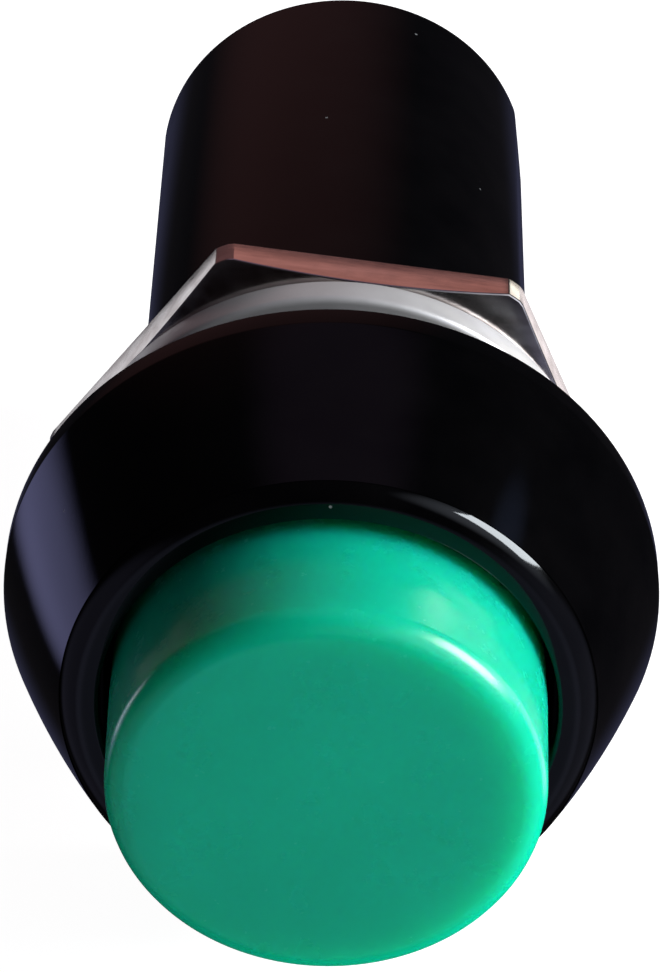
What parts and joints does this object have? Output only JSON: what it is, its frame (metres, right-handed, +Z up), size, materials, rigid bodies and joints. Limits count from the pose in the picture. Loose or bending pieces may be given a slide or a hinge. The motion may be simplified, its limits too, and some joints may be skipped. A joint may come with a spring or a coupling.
{
  "type": "momentary push button switch",
  "caption": "Panel-mounted momentary push button with a green cap, a coned black bezel, a threaded neck with washer and hex nut, and solder terminals.",
  "frame": {"origin": "on the button's axis, in the plane of the flange's rear face, where the panel's front surface lies", "axes": "+Y into the panel, the way the button is pressed; the cap faces -Y; +Z up; +X to the right as seen from the front"},
  "size_m": [0.0176, 0.0387, 0.0176],
  "materials": {
    "black_plastic": "glossy moulded, black",
    "green_plastic": "semi-gloss moulded, green",
    "white_nylon": "natural nylon",
    "nickel_plate": "bright nickel plate",
    "steel": "zinc-plated steel",
    "spring_steel": "drawn spring wire",
    "brass": "stamped brass",
    "tinned_brass": "tin-plated brass",
    "silver": "silver contact",
    "brown_phenolic": "moulded phenolic"
  },
  "bodies": {
    "root": {"housing": "black_plastic", "panel_washer": "nickel_plate", "hex_nut": "nickel_plate", "spring_seat": "steel", "return_spring": "spring_steel", "terminal_base": "brown_phenolic", "rear_ring": "steel", "contact_rivet_left": "silver", "contact_rivet_right": "silver", "solder_terminal_left": "tinned_brass", "solder_terminal_right": "tinned_brass"},
    "button": {"button_cap": "green_plastic", "plunger": "white_nylon", "retaining_clip": "spring_steel", "contact_washer": "steel", "contact_spring": "spring_steel", "bridge_clip": "spring_steel"},
    "bridge": {"contact_bridge": "brass", "bridge_contact_left": "silver", "bridge_contact_right": "silver"}
  },
  "joints": [
    {"name": "button_press", "type": "slide", "parent": "root", "child": "button", "axis": [0, 1, 0], "range_m": [0, 0.003], "stiffness_N_per_m": 500, "springref_m": -0.002, "deforming": ["return_spring", "contact_spring"]},
    {"name": "bridge_follow", "type": "slide", "parent": "root", "child": "bridge", "axis": [0, 1, 0], "range_m": [0, 0.0018]}
  ],
  "couplings": [
    {"joint": "bridge_follow", "follows": "button_press", "ratio": 0.6}
  ]
}
